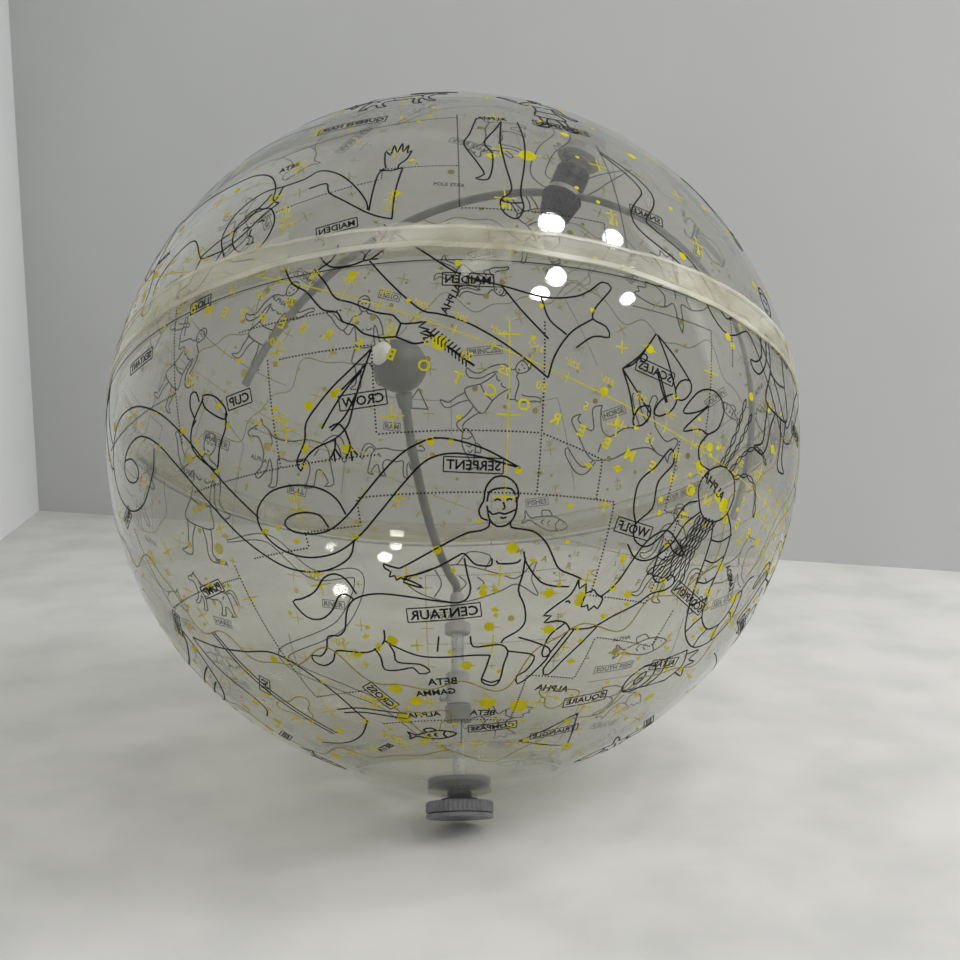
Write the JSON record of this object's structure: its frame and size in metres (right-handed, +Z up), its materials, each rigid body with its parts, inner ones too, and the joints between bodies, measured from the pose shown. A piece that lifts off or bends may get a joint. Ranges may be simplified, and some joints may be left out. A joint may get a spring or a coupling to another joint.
{
  "type": "celestial globe",
  "caption": "Clear two-part celestial globe lying on its side, with a polar knob that turns an inner arm and ball, and an ecliptic knob that turns an inner bow.",
  "frame": {"origin": "on the table plane, straight below the centre of the sphere, with the globe lying on its shell and its polar knob", "axes": "+Z up, +X along the horizontal diameter of the seam, +Y towards the side that the north celestial pole leans to"},
  "size_m": [0.3056, 0.3037, 0.3039],
  "materials": {
    "clear_shell": "clear moulded plastic, aged slightly yellow",
    "tape_film": "yellowed clear adhesive tape",
    "dark_plastic": "dark grey moulded plastic",
    "grey_plastic": "mid grey moulded plastic",
    "ball_grey": "dark grey satin plastic",
    "navy_plastic": "navy black moulded plastic",
    "bow_grey": "grey painted strip",
    "steel": "dull drawn steel",
    "bright_cap": "polished dome",
    "print_black": "black screen print on the shell",
    "print_yellow": "yellow screen print on the shell"
  },
  "bodies": {
    "sphere": {"south_hemisphere": "clear_shell", "north_hemisphere": "clear_shell", "polar_cap": "clear_shell", "seam_tape": "tape_film", "tape_loose_end": "tape_film", "polar_bush": "dark_plastic", "ecliptic_bush": "grey_plastic"},
    "polar_drive": {"clamp_disc": "grey_plastic", "friction_washer": "dark_plastic", "knob_washer": "dark_plastic", "polar_knob": "dark_plastic", "polar_knob_face": "grey_plastic", "polar_spindle": "steel", "stem_sleeve": "grey_plastic", "set_screw": "steel", "set_collar": "dark_plastic", "stem_tube": "steel", "stem_collar": "grey_plastic", "arm_socket": "grey_plastic", "arm_rod": "steel", "ball_ferrule": "grey_plastic", "arm_ball": "ball_grey", "ball_stud": "bright_cap"},
    "ecliptic_drive": {"ecliptic_knob": "grey_plastic", "ecliptic_shaft": "steel", "ecliptic_post": "navy_plastic", "bow_disc": "grey_plastic", "ecliptic_nut": "navy_plastic", "bow_left": "bow_grey", "bow_right": "bow_grey"}
  },
  "joints": [
    {"name": "polar_turn", "type": "hinge", "parent": "sphere", "child": "polar_drive", "pos_m": [0, 0, 0.15195], "axis": [0, 0.4798, 0.8774], "continuous": true},
    {"name": "ecliptic_turn", "type": "hinge", "parent": "sphere", "child": "ecliptic_drive", "pos_m": [0, 0, 0.15195], "axis": [0.4008, 0.3037, 0.8644], "continuous": true}
  ]
}
